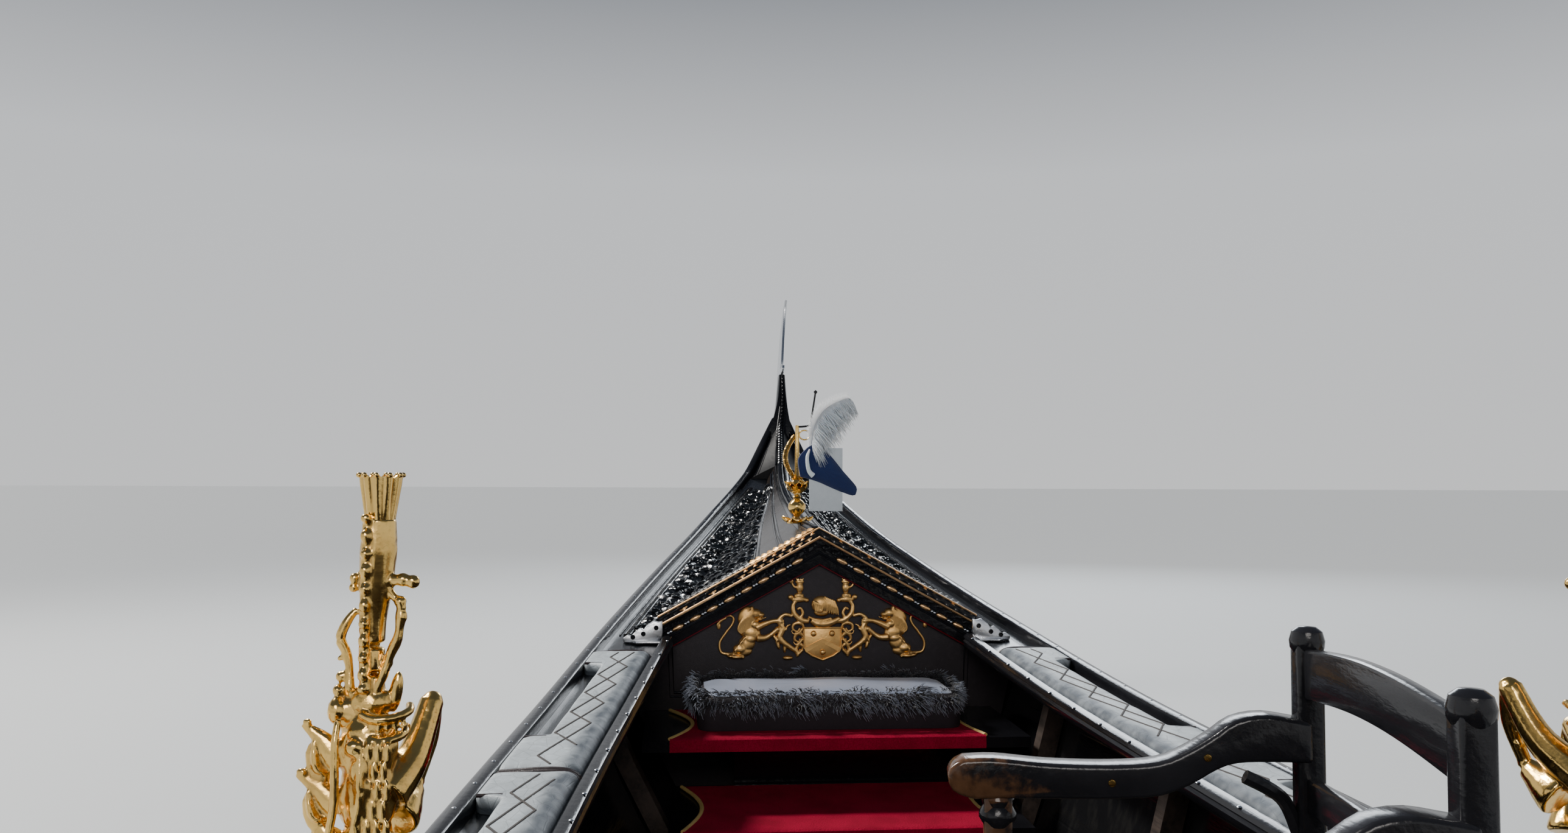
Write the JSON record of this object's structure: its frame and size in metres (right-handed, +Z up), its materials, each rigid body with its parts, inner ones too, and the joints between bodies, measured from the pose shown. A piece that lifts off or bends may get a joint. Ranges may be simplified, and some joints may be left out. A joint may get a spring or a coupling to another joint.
{
  "type": "gondola boat",
  "caption": "Flat-bottomed black lacquered rowing boat with carved foredeck, steel prow iron, brass seahorses, padded side decks, seats, forcola and a sweeping oar.",
  "frame": {"origin": "on the waterline amidships, on the line from the stem to the sternpost", "axes": "+X towards the bow, +Y to port, +Z up"},
  "size_m": [11.0985, 3.4008, 2.0998],
  "materials": {
    "black_lacquer": "gloss black lacquer on wood",
    "bottom_paint": "matt dark underwater paint",
    "floor_paint": "worn dark paint on wood",
    "worn_lacquer": "black lacquer worn to brown wood",
    "steel": "polished steel plate",
    "brass": "polished cast brass",
    "gilding": "gilded cast relief",
    "pad_leather": "grey-blue stitched leather",
    "black_leather": "black leather",
    "red_carpet": "red pile carpet with yellow edging",
    "fringe": "dark fringe round a satin top",
    "walnut": "oiled walnut",
    "oar_wood": "varnished beech",
    "blue_felt": "blue felt",
    "white_feather": "white plume",
    "white_card": "plain white card"
  },
  "bodies": {
    "hull": {"aft_bulkhead": "black_lacquer", "aft_deck_port": "black_lacquer", "aft_deck_starboard": "black_lacquer", "armchair": "worn_lacquer", "armchair_cushion": "black_leather", "back_cushion": "black_leather", "bench": "black_lacquer", "bench_cushion": "black_leather", "bracket_port": "steel", "bracket_starboard": "steel", "breasthook_aft": "black_lacquer", "breasthook_fore": "black_lacquer", "cap": "blue_felt", "card": "white_card", "cornice": "black_lacquer", "crest": "gilding", "end_panel": "black_leather", "feather": "white_feather", "floorboards": "floor_paint", "flower_stand": "brass", "forcola": "walnut", "forcola_socket": "black_lacquer", "foredeck_port": "black_lacquer", "foredeck_ridge": "black_lacquer", "foredeck_starboard": "black_lacquer", "frames": "floor_paint", "hull_bottom": "bottom_paint", "inner_rail_port": "black_lacquer", "inner_rail_starboard": "black_lacquer", "pad_port_aft": "pad_leather", "pad_port_fore": "pad_leather", "pad_port_middle": "pad_leather", "pad_starboard_aft": "pad_leather", "pad_starboard_fore": "pad_leather", "pad_starboard_middle": "pad_leather", "pouf": "fringe", "prow_iron": "steel", "rowing_platform": "worn_lacquer", "seahorse_port": "brass", "seahorse_starboard": "brass", "seat_back": "black_lacquer", "side_deck_port": "black_lacquer", "side_deck_starboard": "black_lacquer", "side_port": "black_lacquer", "side_starboard": "black_lacquer", "stem": "black_lacquer", "step": "black_lacquer", "step_carpet": "red_carpet", "step_riser": "black_lacquer", "stern_iron": "steel", "sternpost": "black_lacquer", "stool": "worn_lacquer", "stool_cushion": "black_leather", "thwart": "black_lacquer", "thwart_carpet": "red_carpet", "thwart_riser": "black_lacquer", "wale_port": "black_lacquer", "wale_starboard": "black_lacquer"},
    "oar": {"oar": "oar_wood"}
  },
  "joints": [
    {"name": "oar_sweep", "type": "hinge", "parent": "hull", "child": "oar", "pos_m": [-2.6, -0.37172, 0.92619], "axis": [0, 0, 1], "range_deg": [-25, 25]}
  ]
}
